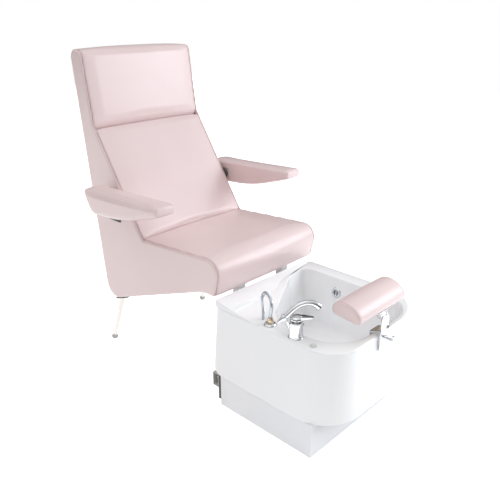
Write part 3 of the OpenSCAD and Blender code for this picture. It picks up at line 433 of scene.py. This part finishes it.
def inflate(piece, pressure, cap, frames, isHeld):
    # cloth under pressure, held where the piece meets what carries it
    mesh = piece.data
    rest = [v.co.copy() for v in mesh.vertices]
    group = piece.vertex_groups.new(name="held")
    group.add([v.index for v in mesh.vertices if isHeld(v.co, v.normal)], 1.0, "REPLACE")
    cloth = piece.modifiers.new("cloth", "CLOTH")
    for key, value in clothSettings.items():
        setattr(cloth.settings, key, value)
    cloth.settings.use_pressure = True
    cloth.settings.uniform_pressure_force = pressure
    cloth.settings.effector_weights.gravity = 0
    cloth.settings.vertex_group_mass = "held"
    cloth.point_cache.frame_start = 1
    cloth.point_cache.frame_end = frames
    for step in range(1, frames + 1):
        scene.frame_set(step)
    applied(piece)
    for vertex, old in zip(piece.data.vertices, rest):
        move = vertex.co - old
        if move.length > cap:
            vertex.co = old + move.normalized() * cap
    piece.vertex_groups.clear()
    scene.frame_set(1)


def relax(piece, rounds, factor=0.5):
    bm = bmesh.new()
    bm.from_mesh(piece.data)
    for k in range(rounds):
        bmesh.ops.smooth_vert(bm, verts=bm.verts, factor=factor,
                              use_axis_x=True, use_axis_y=True, use_axis_z=True)
    bm.to_mesh(piece.data)
    bm.free()


softSettings = {
    "seat_cushion": {"voxel": 0.006, "pressure": 3.0, "cap": 0.004, "fill": 0.8},
    "back_cushion": {"voxel": 0.006, "pressure": 3.0, "cap": 0.004, "fill": 0.8},
    "head_cushion": {"voxel": 0.006, "pressure": 3.0, "cap": 0.003, "fill": 0.8},
    "arm_pad_left": {"voxel": 0.004, "pressure": 3.0, "cap": 0.003, "fill": 0.8},
    "arm_pad_right": {"voxel": 0.004, "pressure": 3.0, "cap": 0.003, "fill": 0.8},
    "footrest_pad": {"voxel": 0.003, "pressure": 3.0, "cap": 0.003, "fill": 0.8},
    "side_cover_left": {"voxel": 0.005, "pressure": 0.0, "cap": 0.002, "fill": 0.3},
    "side_cover_right": {"voxel": 0.005, "pressure": 0.0, "cap": 0.002, "fill": 0.3},
    "rear_cover": {"voxel": 0.006, "pressure": 0.0, "cap": 0.002, "fill": 0.3},
}


def heldRule(nodeName):
    low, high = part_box(nodeName)
    if nodeName.startswith(("seat", "back", "head")):
        return lambda co, normal: normal.y > 0.1 or abs(normal.x) > 0.6 or normal.z < -0.75
    if nodeName.startswith("arm"):
        inner = low[0] if low[0] > 0 else high[0]
        return lambda co, normal: abs(co.x - inner) < 0.006
    return lambda co, normal: normal.z < -0.6


def makeSoft(nodeName):
    wanted = softSettings[nodeName]
    piece = mergedCopy(nodeName, nodeName.replace("_", "") + "Soft")
    remesh(piece, wanted["voxel"])
    relax(piece, 2)
    if wanted["pressure"]:
        inflate(piece, wanted["pressure"], wanted["cap"], clothFrames, heldRule(nodeName))
        relax(piece, 1)
    for polygon in piece.data.polygons:
        polygon.use_smooth = True
    finishPiece(piece, nodeName)
    return piece


softs = {}
for nodeName in softSettings:
    softs[nodeName] = makeSoft(nodeName)
    print("soft", nodeName)


# ---- seams ----

seamSettings = {"radius": 0.0010, "spacing": 0.006, "sink": 0.0004, "armInset": 0.009,
                "bolsterRadius": 0.0018, "bolsterInset": 0.007}


def ringOf(nodeName, x):
    # the vertices of a CAD form that lie in one plane across the chair, in order round their middle
    mesh = nodes[nodeName].data
    joined = {}
    for edge in mesh.edges:
        for v in edge.vertices:
            joined[v] = joined.get(v, 0) + 1
    points = {}
    for v in mesh.vertices:
        if abs(v.co.x - x) < 0.0004:
            key = (round(v.co.y, 4), round(v.co.z, 4))
            points.setdefault(key, [v.co.copy(), 0])
            points[key][1] += joined.get(v.index, 0)
    crowd = max(points.values(), key=lambda row: row[1])
    hub = crowd[0] if crowd[1] > 40 else None
    ring = [row[0] for row in points.values() if row[0] is not hub]
    middle = hub or sum(ring, Vector()) / len(ring)
    return sorted(ring, key=lambda co: math.atan2(co.z - middle.z, co.y - middle.y))


def spaced(ring, step):
    points = []
    for a, b in zip(ring, ring[1:] + ring[:1]):
        n = max(1, round((b - a).length / step))
        points += [a.lerp(b, k / n) for k in range(n)]
    return points


def tubeAlong(name, points, radius, isClosed):
    curve = bpy.data.curves.new(name, "CURVE")
    curve.dimensions = "3D"
    curve.bevel_depth = radius
    curve.bevel_resolution = 2
    curve.use_fill_caps = not isClosed
    line = curve.splines.new("POLY")
    line.points.add(len(points) - 1)
    for place, co in zip(line.points, points):
        place.co = (*co, 1)
    line.use_cyclic_u = isClosed
    holder = bpy.data.objects.new(name, curve)
    scene.collection.objects.link(holder)
    bpy.context.view_layer.update()
    mesh = bpy.data.meshes.new_from_object(holder.evaluated_get(bpy.context.evaluated_depsgraph_get()))
    bpy.data.objects.remove(holder)
    bpy.data.curves.remove(curve)
    piece = link(name, mesh)
    for polygon in mesh.polygons:
        polygon.use_smooth = True
    return piece


def addSeam(name, nodeName, x, onto, radius=seamSettings["radius"]):
    points = []
    for co in spaced(ringOf(nodeName, x), seamSettings["spacing"]):
        best = None
        for soft in onto:
            hit, place, normal, index = soft.closest_point_on_mesh(co)
            if hit and (best is None or (place - co).length < (best[0] - co).length):
                best = (place, normal)
        points.append(best[0] - best[1] * seamSettings["sink"])
    piece = tubeAlong(name, points, radius, True)
    # piping in the darker vinyl, which is partly painted shade of the seam crease
    paint(piece, "seamPipingShade")
    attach(piece, bodyOf[nodeName])
    return piece


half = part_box("seat_cushion")[1][0]
bodySoft = [softs[n] for n in ("seat_cushion", "back_cushion", "head_cushion", "side_cover_left",
                               "side_cover_right", "rear_cover")]
addSeam("seamLeft", "side_cover_left", -half, bodySoft)
addSeam("seamRight", "side_cover_right", half, bodySoft)
for side, nodeName in ((-1, "arm_pad_left"), (1, "arm_pad_right")):
    low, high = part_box(nodeName)
    outer = max(abs(low[0]), abs(high[0]))
    inner = min(abs(low[0]), abs(high[0]))
    inset = seamSettings["armInset"]
    addSeam(nodeName.replace("_", "") + "Outer", nodeName, side * (outer - inset), [softs[nodeName]])
    addSeam(nodeName.replace("_", "") + "Inner", nodeName, side * (inner + inset), [softs[nodeName]])
low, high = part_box("footrest_pad")
inset = seamSettings["bolsterInset"]
for name, x in (("bolsterSeamLeft", low[0] + inset), ("bolsterSeamRight", high[0] - inset)):
    addSeam(name, "footrest_pad", x, [softs["footrest_pad"]], seamSettings["bolsterRadius"])
print("seams sewn")


# ---- hard pieces, with their edges eased ----

edgeWidths = {
    0.0003: ["mixer_index", "clamp_foot", "clamp_screw", "waste_strainer", "bracket_screws", "link_bolts"],
    0.0005: ["mixer_base", "mixer_body", "mixer_hub", "mixer_lever", "shower_holder", "spray_face",
             "hose_flange", "hose_nut", "button_housing", "push_button", "overflow_ring", "rim_clamp",
             "rest_post", "clamp_handle", "rest_hinge", "arm_pivots", "arm_bracket_left", "arm_bracket_right",
             "arm_plate_left", "arm_plate_right", "leg_plates", "link_beam", "link_plates"],
    0.0010: ["leg_left", "leg_right", "leg_feet", "link_uprights"],
    0.0020: ["plinth"],
}


def easeEdges(piece, width, limit=30):
    bm = bmesh.new()
    bm.from_mesh(piece.data)
    bmesh.ops.dissolve_limit(bm, angle_limit=math.radians(0.4), verts=bm.verts, edges=bm.edges)
    sharp = [e for e in bm.edges if len(e.link_faces) == 2 and e.calc_face_angle(0) > math.radians(limit)]
    bmesh.ops.bevel(bm, geom=sharp, offset=width, offset_type="OFFSET", segments=2, profile=0.5,
                    affect="EDGES", clamp_overlap=True, material=-1)
    bmesh.ops.triangulate(bm, faces=[f for f in bm.faces if len(f.verts) > 4])
    bm.to_mesh(piece.data)
    bm.free()


for width, names in edgeWidths.items():
    for nodeName in names:
        piece = mergedCopy(nodeName, nodeName.replace("_", "") + "Eased")
        easeEdges(piece, width)
        smoothShade(piece, 50)
        finishPiece(piece, nodeName)
print("edges eased")

cornerPull = {"narrow": 0.028, "shift": 0.024, "from": 0.078, "over": 0.052, "fade": (-0.114, -0.060)}


def pullCorner(mesh):
    # the bowl's rear corner reaches back to the seat's edge, over a rim that narrows to nothing there
    pull = cornerPull
    back = max(vertex.co.y for vertex in mesh.vertices)
    for vertex in mesh.vertices:
        x, y = vertex.co.x, vertex.co.y - back
        w = min(max((x - pull["from"]) / pull["over"], 0.0), 1.0)
        if y >= -pull["narrow"]:
            vertex.co.y = back + y * (pull["narrow"] - pull["shift"] * w) / pull["narrow"]
        else:
            low, high = pull["fade"]
            vertex.co.y += pull["shift"] * w * min(max((y - low) / (high - low), 0.0), 1.0)


for nodeName in ("tub_shell", "hand_shower", "shower_hose"):
    piece = mergedCopy(nodeName, nodeName.replace("_", "") + "Smooth")
    if nodeName == "tub_shell":
        pullCorner(piece.data)
    smoothShade(piece, 32)
    finishPiece(piece, nodeName)
print("hard pieces smoothed")
